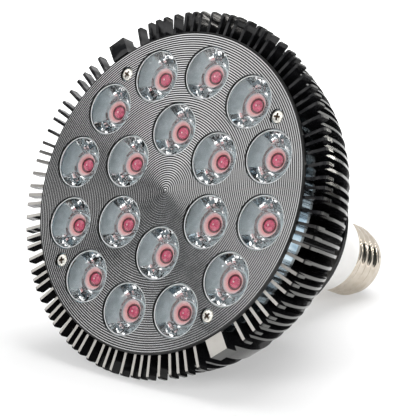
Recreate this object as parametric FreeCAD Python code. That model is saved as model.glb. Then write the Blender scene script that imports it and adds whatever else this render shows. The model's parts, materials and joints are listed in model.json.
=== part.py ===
import FreeCAD, Part
import math
import os

# Infrared therapy bulb: a round face of 18 lenses, a black heatsink of radial fins that taper to
# a white driver housing, and a screw cap. Millimetres. The face is at Z = 0 and the cap is at the
# far end of +Z, the bulb's axis.

# Face plate
plate_overhang = 3.0
plate_thickness = 1.1
plate_bevel = 0.3
pillar_radius = 3.0
pillar_clearance = 0.2

# Lenses and emitters
outer_ring_radius = 40.0
outer_ring_count = 12
inner_ring_count = 6
outer_lens_gap = 2.5
inner_lens_gap = 2.1
lens_recess = 0.6
lens_rim_width = 0.35
lens_dish_depth = 0.3
lens_flange_lip = 0.46
lens_flange_thickness = 1.2
lens_body_setback = 0.9
lens_body_taper = 0.9
lens_waist_depth = 5.2
lens_foot_wall = 1.3
lens_pocket_clearance = 0.3
lens_pocket_depth = 3.6
lens_pocket_rise = 0.6
lens_hole_clearance = 0.16
emitter_radius = 3.6
emitter_height = 1.1
emitter_dome_radius = 2.6
emitter_dome_shoulder = 1.9
emitter_dome_shoulder_height = 0.9
emitter_dome_height = 1.4

# Emitter board, and the polished ring that holds the plate off it
board_depth = 9.6
board_thickness = 1.2
board_clearance = 0.2
ring_wall = 0.7
ring_clearance = 0.2
wire_hole_radius = 3.2

# Heatsink
fin_thickness = 1.0
fin_reach = 7.5
fin_tip_length = 4.1
fin_tip_step = 3.2
fin_tip_round = 1.2
fin_tip_back_round = 0.4
belly_length = 20.8
belly_round = 31.0
tail_radius = 27.3
back_ring_radius = 31.0
back_ring_thickness = 1.5
heatsink_length = 61.0
hub_radius = 23.0
hub_bore_radius = 20.2
hub_floor = 4.0
singles_per_half = 12
first_single_angle = 8.87
fin_period = 14.76
branch_angle = 3.1
branch_radius = 33.5
branch_web = 1.4
trunk_thickness = 1.4
lug_width = 6.4
lug_setback = 1.3
lug_angles = (90.0, 270.0)
lug_clearance = 0.2
screw_column_radius = 2.9

# Screws
face_screw_angles = (0.0, 90.0, 180.0, 270.0)
face_screw_radius = 1.3
face_screw_head_radius = 2.2
face_screw_head_height = 1.5
face_screw_recess = 0.15
face_screw_grip = 6.0
board_screw_circle = 9.5
board_screw_angles = (30.0, 150.0, 270.0)
board_screw_radius = 1.3
board_screw_head_radius = 2.3
board_screw_head_height = 1.5
board_screw_grip = 3.2
housing_screw_circle = 15.8
housing_screw_angles = (90.0, 210.0, 330.0)
housing_screw_radius = 1.2
housing_screw_head_radius = 2.4
housing_screw_head_height = 1.2
housing_screw_grip = 8.0
cross_length = 2.4
cross_width = 0.55
cross_depth = 0.6
head_clearance = 0.3
through_clearance = 0.2
thread_clearance = 0.05

# Driver housing
sleeve_clearance = 0.2
sleeve_end_gap = 0.3
housing_wall = 1.8
collar_radius = 21.4
collar_top_radius = 14.4
collar_length = 34.3
neck_wall = 1.7
neck_length = 15.2
screw_boss_radius = 2.6
screw_boss_length = 11.0
guide_width = 1.2
guide_reach = 2.2
guide_length = 43.0

# Screw cap
cap_wall = 0.4
cap_skirt_length = 2.2
cap_length = 19.4
cap_mouth_radius = 9.6
thread_crest_radius = 13.1
thread_root_radius = 12.2
thread_pitch = 3.63
thread_turns = 4
thread_flat = 0.6
cap_clearance = 0.15
insulator_flange_radius = 11.2
insulator_flange_thickness = 1.2
insulator_step = 0.9
insulator_nose_radius = 5.6
insulator_nose_length = 4.6
contact_radius = 4.8
contact_edge = 0.8
contact_dome = 1.9
contact_pin_radius = 1.0
contact_pin_clearance = 0.1

# Driver circuit, whose places are (across, along) the circuit board from its front edge
circuit_thickness = 1.6
circuit_edge_gap = 0.3
circuit_guide_clearance = 0.15
circuit_front_gap = 2.4
circuit_length = 41.0
transformer_width = 15.0
transformer_height = 13.0
transformer_place = (0.0, 11.0)
transformer_flange = 1.4
transformer_winding_radius = 6.2
transformer_core_width = 9.0
transformer_core_thickness = 1.2
input_capacitor_radius = 4.6
input_capacitor_length = 12.0
input_capacitor_place = (8.8, 27.0)
output_capacitor_radius = 4.0
output_capacitor_length = 13.0
output_capacitor_place = (-3.5, 11.0)
capacitor_groove = 0.4
capacitor_groove_place = 1.6
rectifier_size = (8.4, 2.6, 6.4)
rectifier_place = (4.0, 29.0)
fuse_radius = 1.5
fuse_length = 7.0
fuse_cap_radius = 1.7
fuse_cap_length = 1.4
fuse_place = (-8.0, 29.0)

# Wires
mains_wire_radius = 0.7
lead_radius = 0.55
wire_contact_gap = 0.05
wire_lap = 6.0
wire_sway = 9.0
live_wire_side = 1.4
neutral_wire_side = -2.4
lead_side = 2.0
lead_pad = 7.0
lead_rise = 3.4
arc_share = 0.45

# Places along the axis
board_back = board_depth + board_thickness
floor_back = board_back + hub_floor
tip_back = plate_thickness + fin_tip_length
sleeve_front = floor_back + sleeve_end_gap
collar_back = heatsink_length + collar_length
neck_back = collar_back + neck_length
cap_back = collar_back + cap_length
mouth_front = cap_back - cap_wall
insulator_front = mouth_front - insulator_flange_thickness
nose_back = cap_back + insulator_nose_length
circuit_front = sleeve_front + circuit_front_gap
circuit_back = circuit_front + circuit_length

# Sizes that follow from others
outer_lens_spacing = 2 * outer_ring_radius * math.sin(math.pi / outer_ring_count)
lens_flange_radius = (outer_lens_spacing - outer_lens_gap) / 2
inner_lens_spacing = 2 * lens_flange_radius + inner_lens_gap
inner_ring_radius = inner_lens_spacing / (2 * math.sin(math.pi / inner_ring_count))
lens_radius = lens_flange_radius - lens_flange_lip
lens_body_radius = lens_flange_radius - lens_body_setback
lens_waist_radius = lens_body_radius - lens_body_taper
lens_pocket_radius = emitter_radius + lens_pocket_clearance
lens_foot_radius = lens_pocket_radius + lens_foot_wall
ring_bore = outer_ring_radius + lens_flange_radius + ring_clearance
board_radius = ring_bore + ring_wall
module_radius = board_radius + board_clearance
plate_radius = board_radius + plate_overhang
face_screw_circle = ring_bore - pillar_clearance - pillar_radius
fin_tip_radius = plate_radius + fin_reach
lug_tip_radius = fin_tip_radius - lug_setback
belly_radius = fin_tip_radius - fin_tip_step
sleeve_radius = hub_bore_radius - sleeve_clearance
sleeve_bore = sleeve_radius - housing_wall
neck_radius = thread_root_radius - cap_wall - cap_clearance
circuit_half_width = sleeve_bore - circuit_edge_gap

ORIGIN = FreeCAD.Vector(0, 0, 0)
AXIS = FreeCAD.Vector(0, 0, 1)
SAME_POINT = 1e-6


def save(name, shape):
    """Writes one sub-part and says how large it is."""
    shape.exportStep(os.path.join("parts", name + ".step"))
    print(name, "solids", len(shape.Solids), "volume", round(shape.Volume, 1))


def polar(radius, angle, height=0.0):
    """A point at a radius and an angle in degrees about the axis."""
    turn = math.radians(angle)
    return FreeCAD.Vector(radius * math.cos(turn), radius * math.sin(turn), height)


def corner(before, point, after, radius):
    """Where a rounded corner starts and ends, and its arc, or the bare point with no radius."""
    if radius == 0:
        return point, point, None
    into = (before - point).normalize()
    out = (after - point).normalize()
    half = into.getAngle(out) / 2
    reach = radius / math.tan(half)
    centre = point + (into + out).normalize() * (radius / math.sin(half))
    middle = centre + (point - centre).normalize() * radius
    start, end = point + into * reach, point + out * reach
    return start, end, Part.Arc(start, middle, end).toShape()


def run(start, end, bow):
    """A straight run, or an arc that bows away from it to the left in the XZ plane."""
    if bow == 0:
        return Part.makeLine(start, end)
    left = (end - start).cross(FreeCAD.Vector(0, 1, 0)).normalize()
    return Part.Arc(start, (start + end) / 2 + left * bow, end).toShape()


def path(corners, bows=None):
    """The edges along a row of corners: the run to each corner, then the corner's own arc."""
    edges = []
    for place, (here, following) in enumerate(zip(corners, corners[1:])):
        if here[1].distanceToPoint(following[0]) > SAME_POINT:
            edges.append(run(here[1], following[0], bows.get(place, 0) if bows else 0))
        if following[2]:
            edges.append(following[2])
    return edges


def profile(stops, bows=None):
    """A face in the XZ plane from stops (radius, height) or (radius, height, corner rounding).

    The run that starts at a numbered stop is an arc where bows gives its sagitta.
    """
    points = [FreeCAD.Vector(stop[0], 0, stop[1]) for stop in stops]
    roundings = [stop[2] if len(stop) > 2 else 0 for stop in stops]
    corners = []
    for place, point in enumerate(points):
        after = points[(place + 1) % len(points)]
        corners.append(corner(points[place - 1], point, after, roundings[place]))
    return Part.Face(Part.Wire(path(corners + corners[:1], bows)))


def turned(stops, bows=None):
    """A solid of revolution about the axis."""
    return profile(stops, bows).revolve(ORIGIN, AXIS, 360)


def dome_bow(radius, rise):
    """The sagitta of half a dome's section, from its edge to its top on the axis."""
    sphere = (radius ** 2 + rise ** 2) / (2 * rise)
    return sphere - math.sqrt(sphere ** 2 - (radius ** 2 + rise ** 2) / 4)


def rod(radius, start, end, place=ORIGIN):
    """A round bar along the axis direction between two heights."""
    return Part.makeCylinder(radius, end - start, place + AXIS * start)


def slab(face, thickness, angle):
    """A plate as thick as stated, from a face in the XZ plane turned to an angle."""
    plate = face.translated(FreeCAD.Vector(0, -thickness / 2, 0))
    return plate.extrude(FreeCAD.Vector(0, thickness, 0)).rotated(ORIGIN, AXIS, angle)


def centred_box(width, depth, front, back, across=0.0, side=0.0):
    """A box between two heights, centred on a place across the axis."""
    start = FreeCAD.Vector(across - width / 2, side - depth / 2, front)
    return Part.makeBox(width, depth, back - front, start)


def wire_tube(points, radius):
    """A wire along straight runs, with arcs as large as the runs on both sides allow."""
    corners = [(points[0], points[0], None)]
    for before, point, after in zip(points, points[1:], points[2:]):
        shorter = min(before.distanceToPoint(point), point.distanceToPoint(after))
        half_turn = (math.pi - (before - point).getAngle(after - point)) / 2
        bend = arc_share * shorter / math.tan(half_turn)
        print("  bend radius", round(bend, 2))
        corners.append(corner(before, point, after, bend))
    corners.append((points[-1], points[-1], None))
    spine = Part.Wire(path(corners))
    section = Part.Face(Part.Wire(Part.makeCircle(radius, points[0], points[1] - points[0])))
    tube = spine.makePipe(section)
    print("  length", round(spine.Length, 2))
    print("  volume over section", round(tube.Volume / (math.pi * radius ** 2), 2))
    return tube


def screw(shank_radius, head_radius, head_height, length, countersunk):
    """A cross-head screw whose head starts at height 0 and whose shank points along the axis."""
    stops = [(0, 0), (head_radius, 0)]
    if not countersunk:
        stops.append((head_radius, head_height))
    stops += [(shank_radius, head_height), (shank_radius, length), (0, length)]
    across = centred_box(cross_length, cross_width, 0, cross_depth)
    along = centred_box(cross_width, cross_length, 0, cross_depth)
    return turned(stops).cut(across.fuse(along))


def lens_places():
    """The centre of each lens, outer ring first."""
    outer_step = 360.0 / outer_ring_count
    inner_step = 360.0 / inner_ring_count
    outer = [polar(outer_ring_radius, outer_step * (k + 0.5)) for k in range(outer_ring_count)]
    return outer + [polar(inner_ring_radius, inner_step * k) for k in range(inner_ring_count)]


def face_screw_places():
    return [polar(face_screw_circle, angle) for angle in face_screw_angles]


def board_screw_places():
    return [polar(board_screw_circle, angle) for angle in board_screw_angles]


def housing_screw_places():
    return [polar(housing_screw_circle, angle) for angle in housing_screw_angles]


def back_stops():
    """The turned back of the fins, from behind their tips to the seat of the emitter board."""
    root_radius = (hub_radius + hub_bore_radius) / 2
    return [
        (belly_radius, tip_back),
        (belly_radius, belly_length, belly_round),
        (tail_radius, heatsink_length),
        (root_radius, heatsink_length),
        (root_radius, board_back),
        (module_radius, board_back),
    ]


def fin_side():
    """The side face of a fin: a flat front, a raised tip and the turned back."""
    return profile([
        (module_radius, plate_thickness),
        (fin_tip_radius, plate_thickness, fin_tip_round),
        (fin_tip_radius, tip_back, fin_tip_back_round),
    ] + back_stops())


def lug_side():
    """The side face of a lug, which comes forward beside the plate and is flush with it."""
    return profile([
        (module_radius, plate_thickness),
        (plate_radius + lug_clearance, plate_thickness),
        (plate_radius + lug_clearance, 0),
        (lug_tip_radius, 0),
        (lug_tip_radius, tip_back),
    ] + back_stops())


def band(inner, outer):
    """A strip of the XZ plane between two radii, as long as the heatsink."""
    return profile([(inner, 0), (outer, 0), (outer, heatsink_length), (inner, heatsink_length)])


def branched_fin(side, angle):
    """A trunk that splits into three fins."""
    trunk = side.common(band(0, branch_radius)).Faces[0]
    web = side.common(band(branch_radius, branch_radius + branch_web)).Faces[0]
    blade = side.common(band(branch_radius, fin_tip_radius)).Faces[0]
    web_width = 2 * branch_radius * math.sin(math.radians(branch_angle)) + fin_thickness
    pieces = [slab(trunk, trunk_thickness, angle), slab(web, web_width, angle)]
    for turn in (-branch_angle, 0, branch_angle):
        pieces.append(slab(blade, fin_thickness, angle + turn))
    return pieces


def fins():
    """Both halves of fins, each from one lug to the other: singles with branched fins between."""
    side = fin_side()
    pieces = []
    for lug_angle in lug_angles:
        for k in range(singles_per_half):
            single_angle = lug_angle + first_single_angle + k * fin_period
            pieces.append(slab(side, fin_thickness, single_angle))
            if k + 1 < singles_per_half:
                pieces += branched_fin(side, single_angle + fin_period / 2)
    return pieces


def screw_columns():
    """Columns that carry the face screws that miss the lugs, turned back with the fins."""
    belly = turned([
        (0, board_back),
        (belly_radius, board_back),
        (belly_radius, belly_length, belly_round),
        (tail_radius, heatsink_length),
        (0, heatsink_length),
    ])
    columns = []
    for angle in face_screw_angles:
        if angle not in lug_angles:
            place = polar(face_screw_circle, angle)
            columns.append(rod(screw_column_radius, board_back, heatsink_length, place).common(belly))
    return columns


def heatsink():
    back_ring_front = heatsink_length - back_ring_thickness
    hub = turned([
        (0, board_back),
        (hub_radius, board_back),
        (hub_radius, back_ring_front),
        (back_ring_radius, back_ring_front),
        (back_ring_radius, heatsink_length),
        (hub_bore_radius, heatsink_length),
        (hub_bore_radius, floor_back),
        (0, floor_back),
    ])
    lugs = [slab(lug_side(), lug_width, angle) for angle in lug_angles]
    body = hub.multiFuse(fins() + lugs + screw_columns())
    holes = [rod(wire_hole_radius, board_back, floor_back)]
    for place in face_screw_places():
        hole_end = board_back + face_screw_grip + head_clearance
        holes.append(rod(face_screw_radius + thread_clearance, board_back, hole_end, place))
    for place in board_screw_places():
        hole_end = board_back + board_screw_grip + head_clearance
        holes.append(rod(board_screw_radius + thread_clearance, board_back, hole_end, place))
    for place in housing_screw_places():
        sink = turned([
            (0, board_back),
            (housing_screw_head_radius + thread_clearance, board_back),
            (housing_screw_radius + thread_clearance, board_back + housing_screw_head_height),
            (housing_screw_radius + thread_clearance, floor_back),
            (0, floor_back),
        ])
        holes.append(sink.translated(place))
    return body.cut(Part.makeCompound(holes))


def face_plate():
    plate = turned([
        (0, 0),
        (plate_radius - plate_bevel, 0),
        (plate_radius, plate_bevel),
        (plate_radius, plate_thickness),
        (0, plate_thickness),
    ])
    pillars = [rod(pillar_radius, 0, board_depth, place) for place in face_screw_places()]
    holes = []
    for place in lens_places():
        holes.append(rod(lens_radius + lens_hole_clearance, 0, plate_thickness, place))
    for place in face_screw_places():
        seat = face_screw_recess + face_screw_head_height
        holes.append(rod(face_screw_head_radius + head_clearance, 0, seat, place))
        holes.append(rod(face_screw_radius + through_clearance, seat, board_depth, place))
    return plate.multiFuse(pillars).cut(Part.makeCompound(holes))


def spacer_ring():
    return turned([
        (ring_bore, plate_thickness),
        (board_radius, plate_thickness),
        (board_radius, board_depth),
        (ring_bore, board_depth),
    ])


def led_board():
    board = rod(board_radius, board_depth, board_back)
    holes = [rod(wire_hole_radius, board_depth, board_back)]
    for place in face_screw_places():
        holes.append(rod(face_screw_radius + through_clearance, board_depth, board_back, place))
    for place in board_screw_places():
        holes.append(rod(board_screw_radius + through_clearance, board_depth, board_back, place))
    return board.cut(Part.makeCompound(holes))


def lens():
    """A clear collimator: a rimmed front, a flange under the plate, a bowl and a hollow foot."""
    flange_back = plate_thickness + lens_flange_thickness
    dish = lens_recess + lens_dish_depth
    rim_inner = lens_radius - lens_rim_width
    pocket_edge = board_depth - lens_pocket_depth
    return turned([
        (0, dish),
        (rim_inner - lens_dish_depth, dish),
        (rim_inner, lens_recess),
        (lens_radius, lens_recess),
        (lens_radius, plate_thickness),
        (lens_flange_radius, plate_thickness),
        (lens_flange_radius, flange_back),
        (lens_body_radius, flange_back),
        (lens_waist_radius, lens_waist_depth),
        (lens_foot_radius, board_depth),
        (lens_pocket_radius, board_depth),
        (lens_pocket_radius, pocket_edge),
        (0, pocket_edge + lens_pocket_rise),
    ])


def emitter():
    """A light-emitting diode: a round body on the board with a shallow clear dome."""
    body_front = board_depth - emitter_height
    return turned([
        (0, board_depth),
        (emitter_radius, board_depth),
        (emitter_radius, body_front),
        (emitter_dome_radius, body_front),
        (emitter_dome_shoulder, body_front - emitter_dome_shoulder_height),
        (0, body_front - emitter_dome_height),
    ])


def face_screws():
    length = board_back + face_screw_grip - face_screw_recess
    one = screw(face_screw_radius, face_screw_head_radius, face_screw_head_height, length, False)
    return Part.makeCompound([one.translated(place + AXIS * face_screw_recess)
                              for place in face_screw_places()])


def board_screws():
    length = board_screw_head_height + board_thickness + board_screw_grip
    front = board_depth - board_screw_head_height
    one = screw(board_screw_radius, board_screw_head_radius, board_screw_head_height, length, False)
    return Part.makeCompound([one.translated(place + AXIS * front)
                              for place in board_screw_places()])


def housing_screws():
    length = hub_floor + sleeve_end_gap + housing_screw_grip
    one = screw(housing_screw_radius, housing_screw_head_radius, housing_screw_head_height,
                length, True)
    return Part.makeCompound([one.translated(place + AXIS * board_back)
                              for place in housing_screw_places()])


def driver_housing():
    """The white moulding: a sleeve inside the hub, the collar behind it and the cap's neck."""
    shell = turned([
        (sleeve_bore, sleeve_front),
        (sleeve_radius, sleeve_front),
        (sleeve_radius, heatsink_length),
        (collar_radius, heatsink_length),
        (collar_top_radius, collar_back),
        (neck_radius, collar_back),
        (neck_radius, neck_back),
        (neck_radius - neck_wall, neck_back),
        (neck_radius - neck_wall, collar_back - housing_wall),
        (collar_top_radius - housing_wall, collar_back - housing_wall),
        (sleeve_bore, heatsink_length + housing_wall),
    ])
    boss_back = sleeve_front + screw_boss_length
    bosses = [rod(screw_boss_radius, sleeve_front, boss_back, place)
              for place in housing_screw_places()]
    guide_offset = circuit_thickness / 2 + circuit_guide_clearance + guide_width / 2
    reach = guide_reach + housing_wall / 2
    guides = []
    for across in (-1, 1):
        for side in (-1, 1):
            middle = across * (sleeve_bore + housing_wall / 2 - reach / 2)
            guides.append(centred_box(reach, guide_width, sleeve_front,
                                      sleeve_front + guide_length, middle, side * guide_offset))
    hole_end = floor_back + sleeve_end_gap + housing_screw_grip + head_clearance
    holes = [rod(housing_screw_radius + thread_clearance, sleeve_front, hole_end, place)
             for place in housing_screw_places()]
    return shell.multiFuse(bosses + guides).cut(Part.makeCompound(holes))


def screw_shell():
    """The threaded metal sleeve of the cap, with flat-sided rings in place of a helix."""
    crest_start = collar_back + cap_skirt_length
    outside = [(thread_root_radius, collar_back)]
    for turn in range(thread_turns):
        root_end = crest_start + turn * thread_pitch
        crest = root_end + thread_pitch / 2
        outside += [
            (thread_root_radius, root_end),
            (thread_crest_radius, crest - thread_flat / 2),
            (thread_crest_radius, crest + thread_flat / 2),
            (thread_root_radius, root_end + thread_pitch - thread_flat),
        ]
    inside = [(radius - cap_wall, height) for radius, height in outside]
    end = [
        (thread_root_radius, cap_back),
        (cap_mouth_radius, cap_back),
        (cap_mouth_radius, mouth_front),
        (thread_root_radius - cap_wall, mouth_front),
    ]
    return turned(outside + end + inside[::-1])


def cap_insulator():
    bore = contact_pin_radius + contact_pin_clearance
    return turned([
        (bore, insulator_front),
        (insulator_flange_radius, insulator_front),
        (insulator_flange_radius, mouth_front),
        (cap_mouth_radius - cap_clearance, mouth_front),
        (cap_mouth_radius - cap_clearance, cap_back + insulator_step),
        (insulator_nose_radius, nose_back),
        (bore, nose_back),
    ])


def centre_contact():
    edge_back = nose_back + contact_edge
    return turned([
        (0, insulator_front),
        (contact_pin_radius, insulator_front),
        (contact_pin_radius, nose_back),
        (contact_radius, nose_back),
        (contact_radius, edge_back),
        (0, edge_back + contact_dome),
    ], {
        4: -dome_bow(contact_radius, contact_dome),
    })


def driver_board():
    return centred_box(2 * circuit_half_width, circuit_thickness, circuit_front, circuit_back)


def transformer():
    """A wound bobbin between two flanges, inside a ferrite frame."""
    across, along = transformer_place
    front = circuit_front + along
    back = front + transformer_width
    base = circuit_thickness / 2
    flanges = []
    for height in (base, base + transformer_height - transformer_flange):
        flanges.append(centred_box(transformer_width, transformer_flange, front, back,
                                   across, height + transformer_flange / 2))
    middle = FreeCAD.Vector(across, base, (front + back) / 2)
    winding = Part.makeCylinder(transformer_winding_radius, transformer_height, middle,
                                FreeCAD.Vector(0, 1, 0))
    legs = []
    for start in (front, back - transformer_core_thickness):
        legs.append(centred_box(transformer_core_width, transformer_height, start,
                                start + transformer_core_thickness, across,
                                base + transformer_height / 2))
    return winding.multiFuse(flanges + legs)


def capacitor(radius, length, place, side):
    """A can lying on the circuit board, with the groove that holds its seal."""
    across, along = place
    can = turned([
        (0, 0),
        (radius, 0),
        (radius, capacitor_groove_place - capacitor_groove),
        (radius - capacitor_groove, capacitor_groove_place),
        (radius, capacitor_groove_place + capacitor_groove),
        (radius, length),
        (0, length),
    ])
    offset = side * (circuit_thickness / 2 + radius)
    return can.translated(FreeCAD.Vector(across, offset, circuit_front + along))


def rectifier():
    width, height, length = rectifier_size
    across, along = rectifier_place
    front = circuit_front + along
    side = -(circuit_thickness + height) / 2
    return centred_box(width, height, front, front + length, across, side)


def fuse_resistor():
    across, along = fuse_place
    body = turned([
        (0, 0),
        (fuse_cap_radius, 0),
        (fuse_cap_radius, fuse_cap_length),
        (fuse_radius, fuse_cap_length),
        (fuse_radius, fuse_length - fuse_cap_length),
        (fuse_cap_radius, fuse_length - fuse_cap_length),
        (fuse_cap_radius, fuse_length),
        (0, fuse_length),
    ])
    offset = circuit_thickness / 2 + fuse_cap_radius
    return body.translated(FreeCAD.Vector(across, offset, circuit_front + along))


def live_wire():
    """From the contact's pin down the neck to the back of the circuit board."""
    rest = circuit_thickness / 2 + mains_wire_radius + wire_contact_gap
    return wire_tube([
        FreeCAD.Vector(0, 0, insulator_front),
        FreeCAD.Vector(0, 0, neck_back - wire_sway),
        FreeCAD.Vector(wire_sway / 10, wire_sway / 5, collar_back - wire_sway),
        FreeCAD.Vector(live_wire_side, rest, circuit_back + wire_sway),
        FreeCAD.Vector(live_wire_side, rest, circuit_back - wire_lap),
    ], mains_wire_radius)


def neutral_wire():
    """From the inside of the screw shell over the neck's edge to the circuit board."""
    rest = circuit_thickness / 2 + mains_wire_radius + wire_contact_gap
    level = neck_back + mains_wire_radius + wire_contact_gap
    shell_side = cap_clearance - (thread_root_radius - cap_wall)
    return wire_tube([
        FreeCAD.Vector(shell_side, 0, level),
        FreeCAD.Vector(shell_side / 2, 0, level),
        FreeCAD.Vector(shell_side / 2, rest / 2, collar_back),
        FreeCAD.Vector(neutral_wire_side, rest, circuit_back + wire_sway),
        FreeCAD.Vector(neutral_wire_side, rest, circuit_back - wire_lap),
    ], mains_wire_radius)


def emitter_lead(side):
    """From the front of the circuit board through the hub's floor to a pad on the emitter board."""
    rest = circuit_thickness / 2 + lead_radius + wire_contact_gap
    pad_level = board_depth - lead_radius - wire_contact_gap
    return wire_tube([
        FreeCAD.Vector(side * lead_side, rest, circuit_front + wire_lap),
        FreeCAD.Vector(side * lead_side, rest, board_depth - lead_rise),
        FreeCAD.Vector(side * lead_pad, rest, pad_level),
    ], lead_radius)


os.makedirs("parts", exist_ok=True)
save("heatsink", heatsink())
save("face_plate", face_plate())
save("spacer_ring", spacer_ring())
save("led_board", led_board())
for number, place in enumerate(lens_places(), start=1):
    save("lens_%02d" % number, lens().translated(place))
    save("led_%02d" % number, emitter().translated(place))
save("face_screws", face_screws())
save("board_screws", board_screws())
save("housing_screws", housing_screws())
save("driver_housing", driver_housing())
save("driver_board", driver_board())
save("transformer", transformer())
save("input_capacitor", capacitor(input_capacitor_radius, input_capacitor_length,
                                  input_capacitor_place, 1))
save("output_capacitor", capacitor(output_capacitor_radius, output_capacitor_length,
                                   output_capacitor_place, -1))
save("rectifier", rectifier())
save("fuse_resistor", fuse_resistor())
save("screw_shell", screw_shell())
save("cap_insulator", cap_insulator())
save("centre_contact", centre_contact())
save("live_wire", live_wire())
save("neutral_wire", neutral_wire())
save("lead_positive", emitter_lead(1))
save("lead_negative", emitter_lead(-1))
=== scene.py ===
# %% [markdown]
# # Dressing an infrared therapy bulb
# The bulb is a black finned heatsink with eighteen clear lenses in its face and a threaded cap
# at its back. Its solids come from the frame in their finished size. This lesson gives each of
# them its finish and remakes the few whose fine form matters to the eye: the grooved face plate,
# the lenses, the emitters, the face screws and the threaded cap. The first step loads the frame.

import json
import math

import bmesh
import bpy
from mathutils import Matrix, Vector

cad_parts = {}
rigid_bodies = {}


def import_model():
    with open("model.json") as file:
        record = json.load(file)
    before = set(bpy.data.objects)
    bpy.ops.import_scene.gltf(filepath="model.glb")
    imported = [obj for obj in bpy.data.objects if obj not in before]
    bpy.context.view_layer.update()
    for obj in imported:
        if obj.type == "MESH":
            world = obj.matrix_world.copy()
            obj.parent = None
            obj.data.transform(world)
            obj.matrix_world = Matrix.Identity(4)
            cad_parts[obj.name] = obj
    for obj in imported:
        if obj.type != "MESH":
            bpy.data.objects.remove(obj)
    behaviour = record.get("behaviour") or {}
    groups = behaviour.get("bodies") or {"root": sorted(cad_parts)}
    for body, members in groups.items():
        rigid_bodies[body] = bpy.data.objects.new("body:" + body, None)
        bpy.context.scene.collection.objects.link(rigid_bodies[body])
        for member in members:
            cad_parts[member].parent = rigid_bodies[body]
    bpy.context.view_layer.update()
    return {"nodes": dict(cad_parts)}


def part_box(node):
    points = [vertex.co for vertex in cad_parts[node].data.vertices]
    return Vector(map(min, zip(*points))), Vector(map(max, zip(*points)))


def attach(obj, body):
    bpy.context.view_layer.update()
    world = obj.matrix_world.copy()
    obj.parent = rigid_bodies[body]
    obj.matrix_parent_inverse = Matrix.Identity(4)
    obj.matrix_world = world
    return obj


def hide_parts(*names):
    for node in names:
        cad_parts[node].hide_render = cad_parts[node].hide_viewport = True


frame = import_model()
nodes = frame["nodes"]
MM = 0.001
print("pieces in the frame:", len(nodes))

# %% [markdown]
# The bulb lies on its side and the camera looks at its face from the front left with a long
# lens, so the round face shows as an oval and the cap recedes to the right. A camera set by eye
# would draw those ovals a little wrong everywhere. So its place and axes come from matching the
# circles of the lenses, the rim and the cap with the picture.

# %% Camera
camera_place = Vector((-0.2578, -0.2744, -0.4427))
camera_ahead = Vector((0.4306, 0.4574, 0.7780)).normalized()
camera_up_hint = Vector((-0.4926, 0.8415, -0.2221))
camera_focal_length = 157.3

camera_right = camera_ahead.cross(camera_up_hint).normalized()
camera_up = camera_right.cross(camera_ahead).normalized()
photo_camera = bpy.data.cameras.new("photo_camera")
photo_camera.lens = camera_focal_length
photo_camera.sensor_width = 36.0
camera = bpy.data.objects.new("photo_camera", photo_camera)
bpy.context.scene.collection.objects.link(camera)
camera_turn = Matrix((camera_right, camera_up, -camera_ahead)).transposed().to_4x4()
camera.matrix_world = Matrix.Translation(camera_place) @ camera_turn
bpy.context.scene.camera = camera
bpy.context.scene.view_settings.view_transform = "Standard"
print("camera distance to the face:", round(camera_place.length, 3), "m")

# %% [markdown]
# A surface's look is a tree of nodes, and most of this bulb's trees are plain arithmetic: how far
# out a point lies, or which way its face looks. Wiring such sums node by node hides their
# meaning, so each helper below writes one step of a sum in one line.

# %% Helpers for sums of nodes


def put(tree, value, socket):
    """Sets a socket to a value, or links another node's output to it."""
    if isinstance(value, bpy.types.NodeSocket):
        tree.links.new(value, socket)
    else:
        socket.default_value = value


def number_step(tree, operation, first, second=None):
    """One step with numbers, such as MULTIPLY or ABSOLUTE."""
    sum_node = tree.nodes.new("ShaderNodeMath")
    sum_node.operation = operation
    put(tree, first, sum_node.inputs[0])
    if second is not None:
        put(tree, second, sum_node.inputs[1])
    return sum_node.outputs[0]


def vector_step(tree, operation, first, second=None):
    """One step with places or directions, such as LENGTH or DOT_PRODUCT."""
    sum_node = tree.nodes.new("ShaderNodeVectorMath")
    sum_node.operation = operation
    put(tree, first, sum_node.inputs[0])
    if second is not None:
        put(tree, second, sum_node.inputs[1])
    gives_number = operation in ("LENGTH", "DOT_PRODUCT")
    return sum_node.outputs["Value" if gives_number else "Vector"]


def ranged(tree, source, start, end, low=0.0, high=1.0):
    """Goes from low to high as a source goes from start to end, and stays there beyond."""
    range_node = tree.nodes.new("ShaderNodeMapRange")
    put(tree, source, range_node.inputs["Value"])
    put(tree, start, range_node.inputs["From Min"])
    put(tree, end, range_node.inputs["From Max"])
    put(tree, low, range_node.inputs["To Min"])
    put(tree, high, range_node.inputs["To Max"])
    return range_node.outputs["Result"]


def product(tree, *shares):
    """Multiplies shares, so that the result is 1 only where all of them are."""
    result = shares[0]
    for share in shares[1:]:
        result = number_step(tree, "MULTIPLY", result, share)
    return result


print("helpers for sums of nodes are ready")

# %% [markdown]
# The sums need something to start from. A point's place and the direction in which its face
# looks are known to every surface, from all sides and in every render, so the finishes here are
# built on them alone.

# %% Helpers for places and directions


def place_of(tree):
    """The place of a point of the surface, in metres from the bulb's face centre."""
    return tree.nodes.new("ShaderNodeTexCoord").outputs["Object"]


def normal_of(tree):
    """The direction in which the surface looks."""
    return tree.nodes.new("ShaderNodeNewGeometry").outputs["Normal"]


def along_bulb(tree, vector):
    """The part of a place or direction that runs along the bulb, from face to cap."""
    parts = tree.nodes.new("ShaderNodeSeparateXYZ")
    tree.links.new(vector, parts.inputs["Vector"])
    return parts.outputs["Z"]


print("helpers for places and directions are ready")

# %% [markdown]
# Product pictures are taken on white paper, and black metal would mirror a grey floor. So each
# ground and card here has two sides: its front shows, and its back is clear, so that nothing
# hides the bulb from another side. Light Path tells the camera, mirrors and glass from the light
# that falls on matt surfaces, so a ground can look white without lighting the bulb more.

# %% Helpers for grounds and cards


def empty_finish(name):
    """A material with an empty tree."""
    made = bpy.data.materials.new(name)
    made.use_nodes = True
    made.node_tree.nodes.clear()
    return made


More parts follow.
